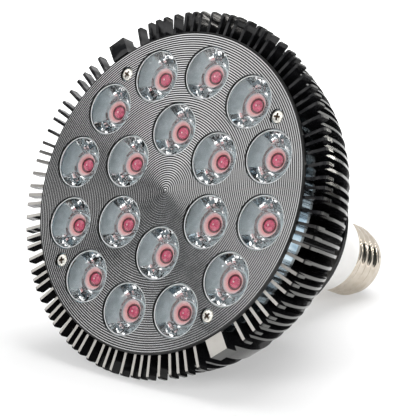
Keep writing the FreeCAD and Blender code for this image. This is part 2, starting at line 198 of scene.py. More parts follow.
def seen_share(tree):
    """1 for the camera, for mirrors and through glass, and 0 for all other light."""
    path = tree.nodes.new("ShaderNodeLightPath")
    seen = number_step(tree, "MAXIMUM", path.outputs["Is Camera Ray"], path.outputs["Is Glossy Ray"])
    return number_step(tree, "MAXIMUM", seen, path.outputs["Is Transmission Ray"])


def show_front_only(tree, shown):
    """Ends a tree with a shader on the front of a surface and nothing on its back."""
    clear = tree.nodes.new("ShaderNodeBsdfTransparent")
    sides = tree.nodes.new("ShaderNodeNewGeometry")
    pick = tree.nodes.new("ShaderNodeMixShader")
    tree.links.new(sides.outputs["Backfacing"], pick.inputs[0])
    tree.links.new(shown, pick.inputs[1])
    tree.links.new(clear.outputs[0], pick.inputs[2])
    output = tree.nodes.new("ShaderNodeOutputMaterial")
    tree.links.new(pick.outputs[0], output.inputs["Surface"])


square_corners = ((-1, -1), (1, -1), (1, 1), (-1, 1))


def flat_card(name, place, facing, width, height, made, upright=None):
    """A flat rectangle about a place, whose front faces a direction."""
    facing = facing.normalized()
    side = (upright.cross(facing) if upright else facing.orthogonal()).normalized()
    other = facing.cross(side)
    corners = [place + side * across * width / 2 + other * along * height / 2
               for across, along in square_corners]
    mesh = bpy.data.meshes.new(name)
    mesh.from_pydata([tuple(corner) for corner in corners], [], [(0, 1, 2, 3)])
    mesh.materials.append(made)
    card = bpy.data.objects.new(name, mesh)
    bpy.context.scene.collection.objects.link(card)
    card.visible_shadow = False
    return card


print("helpers for grounds and cards are ready")

# %% [markdown]
# The bulb touches the table along one side: at the rim of its fins and at the crest of the cap's
# thread. The pieces of the frame never move, so the bulb isn't laid on a level table. The table
# is a plane through both contacts instead, tilted against the bulb's axis.

# %% Where the table lies
rim_radius = 60.5
rim_height = 5.2
thread_crest_radius = 13.1
thread_contact_height = 111.5
contact_turn = math.radians(-51)
contact_side = Vector((math.cos(contact_turn), math.sin(contact_turn), 0))
bulb_axis = Vector((0, 0, 1))
rim_contact = (contact_side * rim_radius + bulb_axis * rim_height) * MM
thread_contact = (contact_side * thread_crest_radius + bulb_axis * thread_contact_height) * MM
along_table = (thread_contact - rim_contact).normalized()
into_table = (contact_side - along_table * contact_side.dot(along_table)).normalized()
table_up = -into_table
print("table normal:", [round(part, 3) for part in table_up])

# %% [markdown]
# The table is matt white paper. Close to the bulb it gives only a little light of its own, which
# keeps the soft shadow. That light grows to full white far out, where no shadow falls, as in a
# product picture. A second floor, seen only from above, carries the bulb when it is looked at
# standing on its face.

# %% Table and floor
ground_grey = (0.53, 0.53, 0.53)
shadow_reach = 0.14
white_from = 0.50
ground_width = 6.0


def pale_ground(name, own_light):
    """A pale matt surface with some light of its own, which grows to white far out."""
    made = empty_finish(name)
    tree = made.node_tree
    matt = tree.nodes.new("ShaderNodeBsdfDiffuse")
    matt.inputs["Color"].default_value = (*ground_grey, 1)
    reach = vector_step(tree, "LENGTH", place_of(tree))
    growing = ranged(tree, reach, shadow_reach, white_from, own_light, 1.0)
    glow = tree.nodes.new("ShaderNodeEmission")
    tree.links.new(product(tree, seen_share(tree), growing), glow.inputs["Strength"])
    both = tree.nodes.new("ShaderNodeAddShader")
    tree.links.new(matt.outputs[0], both.inputs[0])
    tree.links.new(glow.outputs[0], both.inputs[1])
    show_front_only(tree, both.outputs[0])
    return made


table = flat_card("table", rim_contact, table_up, ground_width, ground_width,
                  pale_ground("table_white", 0.38))
floor = flat_card("floor", Vector((0, 0, 0)), bulb_axis, ground_width, ground_width,
                  pale_ground("floor_white", 0.45))
floor.visible_diffuse = False
floor.visible_glossy = False
floor.visible_transmission = False
print("grounds:", table.name, "and", floor.name)

# %% [markdown]
# The light is plain studio light: a broad softbox above the table, one beside the camera, a weak
# one on the right and one over the bulb's cap, which serves the views from above. They give no
# mirror image, because on black metal the cards of a later step are easier to place than lamps.
# The surroundings are white for whoever looks and dimmer as a light, so that colours render as
# they are written.

# %% Lights and surroundings


def softbox(name, place, aim, width, watts):
    """A square area lamp that faces a point."""
    lamp = bpy.data.lights.new(name, "AREA")
    lamp.shape = "SQUARE"
    lamp.size = width
    lamp.energy = watts
    box = bpy.data.objects.new(name, lamp)
    box.location = place
    box.rotation_euler = (aim - place).to_track_quat("-Z", "Y").to_euler()
    bpy.context.scene.collection.objects.link(box)
    box.visible_glossy = False
    box.visible_transmission = False


def white_background(tree, strength):
    """White surroundings of a strength."""
    background = tree.nodes.new("ShaderNodeBackground")
    background.inputs["Color"].default_value = (1, 1, 1, 1)
    background.inputs["Strength"].default_value = strength
    return background.outputs[0]


middle = Vector((0, 0, 0.05))
above_table = table_up * 0.9 + camera_ahead * 0.3 + camera_right * 0.22
beside_camera = -camera_ahead - camera_right * 0.7 + camera_up * 0.5
right_of_bulb = -camera_ahead * 0.4 + camera_right * 0.8 + camera_up * 0.25
softbox("top_softbox", middle + above_table, middle, 0.8, 10.0)
softbox("camera_softbox", middle + beside_camera, middle, 0.7, 10.0)
softbox("right_softbox", middle + right_of_bulb, middle, 0.6, 2.5)
softbox("overhead_softbox", Vector((0.1, -0.1, 1.1)), middle, 0.9, 10.0)

world = bpy.data.worlds.new("studio")
bpy.context.scene.world = world
world.use_nodes = True
tree = world.node_tree
tree.nodes.clear()
chosen = tree.nodes.new("ShaderNodeMixShader")
tree.links.new(seen_share(tree), chosen.inputs[0])
tree.links.new(white_background(tree, 0.35), chosen.inputs[1])
tree.links.new(white_background(tree, 1.0), chosen.inputs[2])
world_output = tree.nodes.new("ShaderNodeOutputWorld")
tree.links.new(chosen.outputs[0], world_output.inputs["Surface"])
print("lamps:", len(bpy.data.lights))

# %% [markdown]
# Shiny black metal and clear lenses show their surroundings, so the dark and bright parts of a
# studio matter as much as its lamps. Photographers stand cards round such an object. The cards
# here do the same: reflections and lenses see them, and the camera and matt surfaces don't.

# %% Cards round the bulb


def card_finish(name, colour):
    """A surface that gives off an even colour."""
    made = empty_finish(name)
    tree = made.node_tree
    glow = tree.nodes.new("ShaderNodeEmission")
    glow.inputs["Color"].default_value = (*colour, 1)
    show_front_only(tree, glow.outputs[0])
    return made


def reflection_card(name, place, facing, width, height, colour, upright=None):
    """A card that only reflections and lenses can see."""
    card = flat_card(name, place, facing, width, height, card_finish(name, colour), upright)
    card.visible_camera = False
    card.visible_diffuse = False


def studio_card(name, direction, distance, width, height, colour, upright=None):
    """A card that stands at a distance from the bulb's middle and faces it."""
    place = middle + direction.normalized() * distance
    reflection_card(name, place, -direction, width, height, colour, upright)


near_camera = -camera_ahead + camera_up * 0.35 - camera_right * 0.2
right_of_cap = Vector((-0.686, -0.728, 0.04)) + camera_up * 0.45
studio_card("low_left_wall", Vector((0.66, 0.40, -0.64)), 1.2, 1.3, 1.0, (0.43, 0.44, 0.45))
studio_card("low_front_wall", Vector((0.65, 0.12, -0.75)), 0.5, 0.5, 0.5, (0.20, 0.21, 0.22))
studio_card("camera_wall", -camera_ahead, 1.4, 1.0, 1.0, (0.16, 0.19, 0.21))
studio_card("lens_glint_card", near_camera, 1.3, 0.4, 0.4, (2.5, 2.5, 2.5))
studio_card("high_left_card", Vector((0.25, 0.77, -0.58)), 1.1, 0.7, 0.7, (1.5, 1.5, 1.5))
studio_card("dark_end_card", Vector((-0.20, -0.20, 0.96)), 0.9, 0.8, 0.8, (0.01, 0.012, 0.012))
studio_card("dark_right_card", right_of_cap, 0.9, 0.36, 0.95, (0.04, 0.045, 0.045), camera_up)
studio_card("cap_glint_card", Vector((-0.45, -0.48, 0.75)), 1.2, 0.5, 0.5, (2.4, 2.4, 2.4))
studio_card("left_card", Vector((0.82, 0.42, -0.33)), 1.0, 0.45, 0.45, (1.1, 1.1, 1.1))
studio_cards = [name for name in bpy.data.objects.keys() if name.endswith(("_card", "_wall"))]
print("cards round the bulb:", len(studio_cards))

# %% [markdown]
# The flat sides of the top fins mirror one thin slice of the room each, and in the picture some
# of those slices are black and some are sharp white streaks. A far card would have to reach
# through the table to fill them. A card close to the fin, just where the fin's side mirrors the
# camera, works for one fin and leaves its neighbours alone. The fins on the left mirror the white
# table right beside them, and a dark strip lying there keeps their sides black.

# %% Cards for the sides of the fins
fin_tip_radius = 59.0
fin_tip_height = 6.0
strip_distance = 0.18
strip_height = 0.02
strips = ((119, 0.003, 12.0), (123, 0.004, 18.0), (128, 0.008, 26.0), (131.5, 0.004, 20.0),
          (135, 0.003, 16.0))


def fin_card(name, turn_degrees, distance, width, height, strength):
    """A card that the side of a fin mirrors to the camera, by the fin's turn."""
    turn = math.radians(turn_degrees)
    outward = Vector((math.cos(turn), math.sin(turn), 0))
    tip = (outward * fin_tip_radius + bulb_axis * fin_tip_height) * MM
    view = (tip - camera_place).normalized()
    side = bulb_axis.cross(outward)
    mirrored = view - 2 * view.dot(side) * side
    colour = (strength, strength * 0.97, strength * 0.92)
    reflection_card(name, tip + mirrored * distance, -mirrored, width, height, colour, bulb_axis)


fin_card("top_dark_wall", 142, 0.25, 0.30, 0.16, 0.03)
for number, (turn_degrees, strip_width, strength) in enumerate(strips):
    fin_card(f"top_strip_{number}", turn_degrees, strip_distance, strip_width, strip_height,
             strength)
# Painted shade: the dark strip stands in for the bulb's shadow on the table, seen only in mirrors.
shade_place = (Vector((68, -12, 22)) + table_up * 1.5) * MM
shade_run = Vector((0.53, 0.74, 0.42))
reflection_card("left_shade", shade_place, table_up, 0.034, 0.080, (0.03, 0.03, 0.03), shade_run)
print("strips for the top fins:", len(strips))

# %% [markdown]
# A turned or moulded round piece is drawn as half of its section and swept about its axis. The
# Screw modifier could do that too, but the cap's thread needs a radius that changes on the way
# round. So one helper lays a ring of points, and another joins the rings. A stop on the axis
# becomes a single point, so that the surface closes without slivers.

# %% Helpers for turned pieces


def ring_of_points(form, radii, height, centre=(0.0, 0.0)):
    """Points about an axis at one height, one point for each radius."""
    points = []
    for number, radius in enumerate(radii):
        turn = 2 * math.pi * number / len(radii)
        points.append(form.verts.new(((centre[0] + radius * math.cos(turn)) * MM,
                                      (centre[1] + radius * math.sin(turn)) * MM,
                                      height * MM)))
    return points


def join_rings(form, rings, steps, closed=False):
    """Faces from each ring to the next, and from the last to the first if closed."""
    pairs = list(zip(rings, rings[1:]))
    if closed:
        pairs.append((rings[-1], rings[0]))
    for lower, upper in pairs:
        for number in range(steps):
            after = (number + 1) % steps
            corners = [lower[number % len(lower)], lower[after % len(lower)],
                       upper[after % len(upper)], upper[number % len(upper)]]
            unique = [c for place, c in enumerate(corners) if c not in corners[:place]]
            if len(unique) > 2:
                form.faces.new(unique)


def swept(form, stops, steps, centre=(0.0, 0.0)):
    """Sweeps a section about an axis: each stop is a radius and a height."""
    rings = [ring_of_points(form, [radius] * (steps if radius else 1), height, centre)
             for radius, height in stops]
    join_rings(form, rings, steps)


print("helpers for turned pieces are ready")

# %% [markdown]
# A swept mesh still has to become a piece. Its round parts are shaded smoothly and its true
# edges stay sharp, told apart by their angle. Holes and recesses are cut with an exact boolean
# step, and its result replaces the mesh, so that nothing is left to work out later. Each remade
# piece then takes the place of the solids that it stands for.

# %% Helpers for whole pieces


def soften(form, sharp_degrees):
    """Shades a mesh smoothly, apart from edges that turn by more than stated."""
    for face in form.faces:
        face.smooth = True
    for edge in form.edges:
        edge.smooth = (len(edge.link_faces) == 2
                       and edge.calc_face_angle() < math.radians(sharp_degrees))


def as_piece(name, form, sharp_degrees=30):
    """Turns a mesh under construction into an object with soft and sharp edges."""
    bmesh.ops.recalc_face_normals(form, faces=form.faces)
    soften(form, sharp_degrees)
    mesh = bpy.data.meshes.new(name)
    form.to_mesh(mesh)
    form.free()
    piece = bpy.data.objects.new(name, mesh)
    bpy.context.scene.collection.objects.link(piece)
    return piece


def cut_away(piece, cutter, sharp_degrees=30):
    """Cuts one object out of another and keeps only the result."""
    cut = piece.modifiers.new("cut", "BOOLEAN")
    cut.operation = "DIFFERENCE"
    cut.solver = "EXACT"
    cut.object = cutter
    evaluated = piece.evaluated_get(bpy.context.evaluated_depsgraph_get())
    mesh = bpy.data.meshes.new_from_object(evaluated)
    piece.modifiers.clear()
    piece.data = mesh
    bpy.data.objects.remove(cutter)
    form = bmesh.new()
    form.from_mesh(mesh)
    soften(form, sharp_degrees)
    form.to_mesh(mesh)
    form.free()


def stand_for(piece, slot_name, *node_names):
    """A remade piece rides on the bulb and hides its solids; slot_name is not used."""
    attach(piece, "root")
    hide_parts(*node_names)


print("helpers for whole pieces are ready")

# %% [markdown]
# A finish is one Principled shader with a few noise textures behind its colour, its roughness and
# its bump. Real surfaces are never quite even, and noise in millimetres of the real surface gives
# that unevenness its true scale. Noise keeps mostly to the middle of its range, so the helpers
# stretch that middle part over the values that they are given.

# %% Helpers for finishes
noise_low = 0.35
noise_high = 0.65


def finish(name, colour, **sockets):
    """A material with one Principled shader and its constant values."""
    made = bpy.data.materials.new(name)
    made.use_nodes = True
    shader = made.node_tree.nodes["Principled BSDF"]
    shader.inputs["Base Color"].default_value = (*colour, 1)
    for socket, value in sockets.items():
        shader.inputs[socket.replace("_", " ")].default_value = value
    return made


def feed(made, source, socket):
    """Links a source to a socket of the finish's shader."""
    shader = made.node_tree.nodes["Principled BSDF"]
    made.node_tree.links.new(source, shader.inputs[socket])


def noise_at(tree, place, size_mm, detail=2.0):
    """Noise whose lumps are about a size across, at a place."""
    texture = tree.nodes.new("ShaderNodeTexNoise")
    texture.inputs["Scale"].default_value = 1 / (size_mm * MM)
    texture.inputs["Detail"].default_value = detail
    tree.links.new(place, texture.inputs["Vector"])
    return texture.outputs["Fac"]


def noise(made, size_mm, detail=2.0, stretch=(1, 1, 1)):
    """Noise on a finish, stretched along the axes."""
    tree = made.node_tree
    stretched = vector_step(tree, "MULTIPLY", place_of(tree), stretch)
    return noise_at(tree, stretched, size_mm, detail)


def vary(made, source, socket, low, high):
    """Drives a number of the shader from a source, between two values."""
    feed(made, ranged(made.node_tree, source, noise_low, noise_high, low, high), socket)


def tint(made, source, low, high):
    """Varies the colour between two colours."""
    ramp = made.node_tree.nodes.new("ShaderNodeValToRGB")
    dark, light = ramp.color_ramp.elements
    dark.position = noise_low
    dark.color = (*low, 1)
    light.position = noise_high
    light.color = (*high, 1)
    made.node_tree.links.new(source, ramp.inputs["Fac"])
    feed(made, ramp.outputs["Color"], "Base Color")


def bump(made, source, depth_mm):
    """Raises the surface and its clear coat by a source, as deep as stated."""
    raised = made.node_tree.nodes.new("ShaderNodeBump")
    raised.inputs["Distance"].default_value = depth_mm * MM
    made.node_tree.links.new(source, raised.inputs["Height"])
    feed(made, raised.outputs["Normal"], "Normal")
    feed(made, raised.outputs["Normal"], "Coat Normal")


def dress(node_name, made):
    """Gives a solid of the frame its finish."""
    piece = nodes[node_name]
    piece.data.materials.clear()
    piece.data.materials.append(made)


print("helpers for finishes are ready")

# %% [markdown]
# The heatsink is one aluminium casting that is coated glossy black and then turned on a lathe.
# The tool thins the coat on the fins' outer edges, so they shine grey. The front ends of the fins
# on the lower side get a painted highlight in metal grey. Painting those places on by hand
# would be slow for ninety fins. Where a point lies and which way its face looks tell them all
# apart, so two sums of nodes find them.

# %% Where the heatsink was turned
heatsink_low, heatsink_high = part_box("heatsink")
back_ring_start = heatsink_high.z - 2.0 * MM
turned_from_radius = heatsink_high.x - 4.0 * MM
lower_side = (0.707, -0.707, 0)
painted_highlight_from = -0.005
painted_highlight_full = 0.022
black_coat = finish("black_coat", (0.010, 0.010, 0.011), Roughness=0.2,
                    Specular_IOR_Level=0.15, Coat_Weight=0.2, Coat_Roughness=0.06)


def before_back_ring(tree):
    """1 on the fins, and 0 on the ring that closes their back."""
    return number_step(tree, "LESS_THAN", along_bulb(tree, place_of(tree)), back_ring_start)


def turned_share(tree):
    """1 where a fin's edge was turned on the lathe, and 0 on its cast sides."""
    normal = normal_of(tree)
    around = vector_step(tree, "CROSS_PRODUCT", (0, 0, 1), place_of(tree))
    round_way = vector_step(tree, "NORMALIZE", around)
    sideways = number_step(tree, "ABSOLUTE", vector_step(tree, "DOT_PRODUCT", round_way, normal))
    not_a_side = ranged(tree, sideways, 0.75, 0.35)
    looking_back = along_bulb(tree, normal)
    not_the_front = ranged(tree, looking_back, -0.8, -0.4)
    leaning_back = number_step(tree, "GREATER_THAN", looking_back, 0.02)
    far_out = number_step(tree, "GREATER_THAN", vector_step(tree, "LENGTH", around),
                          turned_from_radius)
    outer_edge = number_step(tree, "MAXIMUM", leaning_back, far_out)
    return product(tree, not_a_side, not_the_front, before_back_ring(tree), outer_edge)


# Painted highlight: the front ends of the lower fins are painted metal grey.
def painted_highlight_share(tree):
    """1 on the front ends of the lower fins, which get a painted highlight."""
    front = ranged(tree, along_bulb(tree, normal_of(tree)), -0.85, -0.95)
    low_place = vector_step(tree, "DOT_PRODUCT", place_of(tree), lower_side)
    return product(tree, front, ranged(tree, low_place, painted_highlight_from, painted_highlight_full))


turned_edges = turned_share(black_coat.node_tree)
painted_highlight_ends = painted_highlight_share(black_coat.node_tree)
print("turned from a radius of", round(turned_from_radius / MM, 2), "mm")

# %% [markdown]
# Cast sides are never quite flat. Under a glossy coat their slow waves bend the mirror image, and
# the sides of the top fins break into streaks. The waves are a bump of soft noise. Its place is
# counted as distance from the axis, turn and height, so that it runs along each fin and still
# changes from one fin to the next. It is kept off the turned edges and the back ring, which are
# smooth.

# %% Waves of the cast sides
wave_size = 4.0
wave_turn_scale = 0.05
wave_height_scale = 0.12
wave_depth = 1.1


def fin_waves(tree, turned):
    """Slow waves on the cast sides of the fins."""
    place = place_of(tree)
    parts = tree.nodes.new("ShaderNodeSeparateXYZ")
    tree.links.new(place, parts.inputs["Vector"])
    reach = vector_step(tree, "LENGTH", vector_step(tree, "MULTIPLY", place, (1, 1, 0)))
    turn = number_step(tree, "ARCTAN2", parts.outputs["Y"], parts.outputs["X"])
    on_fin = tree.nodes.new("ShaderNodeCombineXYZ")
    put(tree, reach, on_fin.inputs["X"])
    put(tree, number_step(tree, "MULTIPLY", turn, wave_turn_scale), on_fin.inputs["Y"])
    put(tree, number_step(tree, "MULTIPLY", parts.outputs["Z"], wave_height_scale),
        on_fin.inputs["Z"])
    waves = noise_at(tree, on_fin.outputs["Vector"], wave_size, 0.5)
    cast = number_step(tree, "SUBTRACT", 1.0, turned)
    return product(tree, waves, cast, before_back_ring(tree))


bump(black_coat, fin_waves(black_coat.node_tree, turned_edges), wave_depth)
print("waves of", wave_size, "mm on the fins")

# %% [markdown]
# The coat's colour goes from black to grey where it is thin, and from there to the metal grey of
# the painted highlight on the lower front ends. The turned edges are also more metallic than the
# coat. Three materials could show that too, but a blend in one material needs no faces picked out
# and has soft borders.

# %% Heatsink
coated_black = (0.008, 0.008, 0.009)
thin_grey = (0.12, 0.12, 0.115)
# Colour of the painted highlight on the lower front ends.
painted_highlight_grey = (0.50, 0.48, 0.45)


def mixed(tree, share, first, second):
    """Goes from a first colour to a second one as a share goes from 0 to 1."""
    mix = tree.nodes.new("ShaderNodeMixRGB")
    put(tree, share, mix.inputs["Fac"])
    put(tree, first, mix.inputs["Color1"])
    put(tree, second, mix.inputs["Color2"])
    return mix.outputs["Color"]


tree = black_coat.node_tree
coat = mixed(tree, turned_edges, (*coated_black, 1), (*thin_grey, 1))
# The last blend paints the highlight onto the lower front ends.
feed(black_coat, mixed(tree, painted_highlight_ends, coat, (*painted_highlight_grey, 1)), "Base Color")
vary(black_coat, turned_edges, "Metallic", 0.0, 0.8)
vary(black_coat, noise(black_coat, 5.0), "Roughness", 0.16, 0.26)
dress("heatsink", black_coat)
print("heatsink faces:", len(nodes["heatsink"].data.polygons))

# %% [markdown]
# The holes of the plate and the remade pieces have to sit exactly where the solids are. The frame
# gives every solid's box, so the axis of each lens is the middle of its box, and the circle of
# the four face screws follows from the box about all of them.

# %% Places of the lenses and screws


def centre_of(node_name):
    """The place of a solid's axis across the bulb, in millimetres."""
    low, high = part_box(node_name)
    return ((low.x + high.x) / 2 / MM, (low.y + high.y) / 2 / MM)


lens_places = [centre_of(f"lens_{number:02d}") for number in range(1, 19)]
screws_low, screws_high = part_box("face_screws")
screw_head_radius = 2.2
face_screw_circle = screws_high.x / MM - screw_head_radius
screw_places = [(face_screw_circle * math.cos(math.radians(turn)),
                 face_screw_circle * math.sin(math.radians(turn)))
                for turn in (0, 90, 180, 270)]
print("lenses:", len(lens_places), "face screws:", len(screw_places))

# %% [markdown]
# The face plate is turned on a lathe. The round nose of the tool leaves about seventy fine
# grooves, and each throws the light back over a range of directions, which gives the bright and
# dark sectors of a turned face. A bump could only fake that, so the grooves are real: a section
# of small slopes is swept about the axis, and the holes for lenses and screws are cut after it.

# %% Plate with its grooves
plate_low, plate_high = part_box("face_plate")
plate_radius = (plate_high.x - plate_low.x) / 2 / MM
plate_thickness = 1.1
plate_bevel = 0.3
plate_steps = 200
plate_sharp_edge = 20
groove_pitch = 0.75
groove_depth = 0.093
groove_stops = ((0.30, 0.60), (0.55, 1.0), (0.59, 1.0), (0.80, 0.42), (1.0, 0.0))

groove_start = plate_radius - plate_bevel
groove_count = int(groove_start / groove_pitch)
plate_stops = [(0, plate_thickness), (plate_radius, plate_thickness),
               (plate_radius, plate_bevel), (groove_start, 0)]
for groove in range(groove_count):
    crest = groove_start - groove * groove_pitch
    for share, sink in groove_stops:
        plate_stops.append((crest - share * groove_pitch, sink * groove_depth))
plate_stops.append((0, 0))
form = bmesh.new()
swept(form, plate_stops, plate_steps)
plate = as_piece("grooved_plate", form, plate_sharp_edge)
print("grooves:", groove_count)

# %% [markdown]
# The holes are drilled after the turning, so they cut the grooves with a clean edge. One cutter
# with all its drills does that in a single boolean step.

# %% Holes of the plate
lens_hole_radius = 8.92
screw_hole_radius = 2.5


def drill(form, radius, steps, place):
    """A plain round cutter that passes through the plate."""
    swept(form, [(0, -1), (radius, -1), (radius, 2), (0, 2)], steps, place)


form = bmesh.new()
for place in lens_places:
    drill(form, lens_hole_radius, 72, place)
for place in screw_places:
    drill(form, screw_hole_radius, 36, place)
cut_away(plate, as_piece("plate_holes", form), plate_sharp_edge)
print("plate faces:", len(plate.data.polygons))

# %% [markdown]
# The plate has two finishes: a grey metal on the slopes that face outwards, and a darker copy of
# it on the slopes that look towards the axis, the walls of the holes and the rim. The darker copy
# is painted shade.

# %% Finish of the plate
turned_black = finish("turned_black", (0.40, 0.40, 0.40), Metallic=1.0, Roughness=0.22)
tint(turned_black, noise(turned_black, 14.0), (0.52, 0.52, 0.52), (0.58, 0.58, 0.58))
vary(turned_black, noise(turned_black, 4.0), "Roughness", 0.20, 0.26)
# Painted shade: a darker copy of the plate's metal for the inward slopes, walls and rim.
painted_shade_black = finish("painted_shade_black", (0.06, 0.06, 0.06), Metallic=0.9, Roughness=0.3)
tint(painted_shade_black, noise(painted_shade_black, 8.0), (0.028, 0.028, 0.028), (0.045, 0.045, 0.045))
plate.data.materials.append(turned_black)
plate.data.materials.append(painted_shade_black)
for face in plate.data.polygons:
    outward = Vector(face.center[:2]).normalized().dot(face.normal.xy)
    looks_inward = outward < -0.1
    is_wall = face.normal.z > -0.8
    face.material_index = 1 if looks_inward or is_wall else 0
stand_for(plate, "face_black", "face_plate")
print("dark faces:", sum(face.material_index for face in plate.data.polygons))

# %% [markdown]
# Each lens is a moulded collimator of clear acrylic: a window with a thin rim, a bowl whose
# polished wall mirrors the light forward, and a pocket at the foot that takes the emitter. Real
# refraction does the rest, so the material is true clear plastic. Its shadow is made clear by a
# second shader, because light that bends through such a form would take far longer to render.
# The rim's top is matt in the picture and gets a finish of its own.

# %% Clear acrylic
clear_acrylic = finish("clear_acrylic", (0.97, 0.98, 0.98), Roughness=0.01,
                       Transmission_Weight=1.0, IOR=1.49)
bump(clear_acrylic, noise(clear_acrylic, 2.5, 1.0), 0.005)
tree = clear_acrylic.node_tree
lamp_light = tree.nodes.new("ShaderNodeBsdfTransparent")
lamp_light.inputs["Color"].default_value = (0.9, 0.9, 0.9, 1)
lamp_path = tree.nodes.new("ShaderNodeLightPath")
lamp_mix = tree.nodes.new("ShaderNodeMixShader")
tree.links.new(lamp_path.outputs["Is Shadow Ray"], lamp_mix.inputs[0])
tree.links.new(tree.nodes["Principled BSDF"].outputs[0], lamp_mix.inputs[1])
tree.links.new(lamp_light.outputs[0], lamp_mix.inputs[2])
tree.links.new(lamp_mix.outputs[0], tree.nodes["Material Output"].inputs["Surface"])

frosted_rim = finish("frosted_rim", (0.90, 0.92, 0.92), Roughness=0.35,
                     Transmission_Weight=0.35, IOR=1.49)
tint(frosted_rim, noise(frosted_rim, 1.5), (0.82, 0.85, 0.86), (0.97, 0.98, 0.98))
print("lens finishes:", clear_acrylic.name, "and", frosted_rim.name)

# %% [markdown]
# The section of a lens runs from the middle of its window over the rim, down the bowl and back
# up into the pocket. A real mould is never perfectly round, and a perfect bowl mirrors too
# evenly. So the wall of the bowl is moved in and out by a few hundredths of a millimetre, which
# makes the lens sparkle.

# %% Form of a lens
lens_low, lens_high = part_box("lens_01")
flange_radius = (lens_high.x - lens_low.x) / 2 / MM
window_radius = flange_radius - 0.46
lens_front = lens_low.z / MM
lens_foot = lens_high.z / MM - 0.02
lens_steps = 120
bowl_from = 2.4
bowl_inner_radius = 4.1
window_stops = [(0, 0.9), (window_radius - 0.46, 0.9), (window_radius - 0.36, 0.75),
                (window_radius - 0.28, 0.60), (window_radius - 0.18, lens_front),
                (window_radius - 0.06, 0.60), (window_radius, 0.72), (window_radius, 1.1)]
flange_stops = [(flange_radius - 0.05, 1.1), (flange_radius, 1.15), (flange_radius, 2.25),
                (flange_radius - 0.05, 2.3)]
bowl_stops = [(8.5, 2.3), (7.45, 4.0), (6.35, 5.7), (5.3, 7.3), (4.35, lens_foot),
              (3.98, lens_foot)]
pocket_stops = [(3.96, 7.5), (3.95, 6.25), (3.85, 6.15), (3.0, 6.3), (2.2, 6.42), (1.3, 6.52),
                (0.6, 6.57), (0, 6.58)]
lens_stops = window_stops + flange_stops + bowl_stops + pocket_stops


def ripple_bowl(form, place):
    """Moves the bowl's wall in and out by a few hundredths of a millimetre."""
    clocking = math.atan2(place[1], place[0]) * 5
    for vertex in form.verts:
        across = Vector((vertex.co.x - place[0] * MM, vertex.co.y - place[1] * MM))
        height = vertex.co.z / MM
        if height > bowl_from and across.length > bowl_inner_radius * MM:
            turn = math.atan2(across.y, across.x)
            ripple = (0.005 * math.cos(13 * turn + clocking)
                      + 0.004 * math.cos(22 * turn - clocking))
            vertex.co.x += across.x * ripple
            vertex.co.y += across.y * ripple


print("stops of a lens:", len(lens_stops))

# %% [markdown]
# The eighteen lenses are one form at eighteen places, each a piece of its own, as on the real
# bulb. A shared mesh would be smaller, but the ripple of each is clocked by its place, so that no
# two of them sparkle alike.

# %% Lenses
rim_starts = window_radius - 0.40
rim_ends = 0.95
for number, place in enumerate(lens_places, 1):
    form = bmesh.new()
    swept(form, lens_stops, lens_steps, place)
    ripple_bowl(form, place)
    lens = as_piece(f"collimator_{number:02d}", form, 8)
    lens.data.materials.append(clear_acrylic)
    lens.data.materials.append(frosted_rim)
    axis = Vector(place) * MM
    for face in lens.data.polygons:
        out = (Vector(face.center[:2]) - axis).length / MM
        on_rim = out > rim_starts and face.center.z / MM < rim_ends
        face.material_index = 1 if on_rim else 0
    stand_for(lens, "lens_clear", f"lens_{number:02d}")
print("lens faces:", len(lens.data.polygons))

# %% [markdown]
# Under each lens sits an emitter: a round body with a raised ring and a shallow dome over the
# chip. The dome is red and glossy, with a pale chip in it, and its ring is darker. The dome's red
# is painted over the pale body as a halo of painted light that fades outwards. One finish can't
# know the axes of eighteen emitters, so six rings of faces, each with its own finish, make that
# fading.

# %% Finishes of the emitters
emitter_red = finish("emitter_red", (0.70, 0.05, 0.11), Roughness=0.15, Coat_Weight=1.0,
                     Coat_Roughness=0.05)
tint(emitter_red, noise(emitter_red, 0.8), (0.52, 0.02, 0.09), (0.82, 0.08, 0.20))
ring_red = finish("ring_red", (0.10, 0.003, 0.010), Roughness=0.4)
tint(ring_red, noise(ring_red, 0.6), (0.07, 0.002, 0.008), (0.13, 0.005, 0.012))
chip_pale = finish("chip_pale", (0.95, 0.55, 0.6), Roughness=0.3)
tint(chip_pale, noise(chip_pale, 0.3), (0.85, 0.4, 0.48), (1.0, 0.75, 0.75))

painted_halo_rings = 6
painted_halo_start = 2.65
painted_halo_width = 0.25
emitter_finishes = [(0.38, chip_pale), (1.78, emitter_red), (2.38, ring_red)]
# Painted light: each ring is a step of the pink halo, the dome's red painted onto the body.
for number in range(painted_halo_rings):
    fade = number / (painted_halo_rings - 1)
    halo = finish(f"body_painted_halo_{number}", (0.9, 0.5, 0.5), Roughness=0.45)
    red = 0.94 - 0.04 * fade
    green = 0.36 + 0.32 * fade
    tint(halo, noise(halo, 1.0), (red, green, green + 0.01),
         (red + 0.04, green + 0.10, green + 0.10))
    emitter_finishes.append((painted_halo_start + painted_halo_width * number, halo))
print("finishes of an emitter:", len(emitter_finishes))

# %% [markdown]
# The emitter is swept from its own section, and each face takes the first finish whose ring
# reaches out to it. The last ring takes what lies further out.

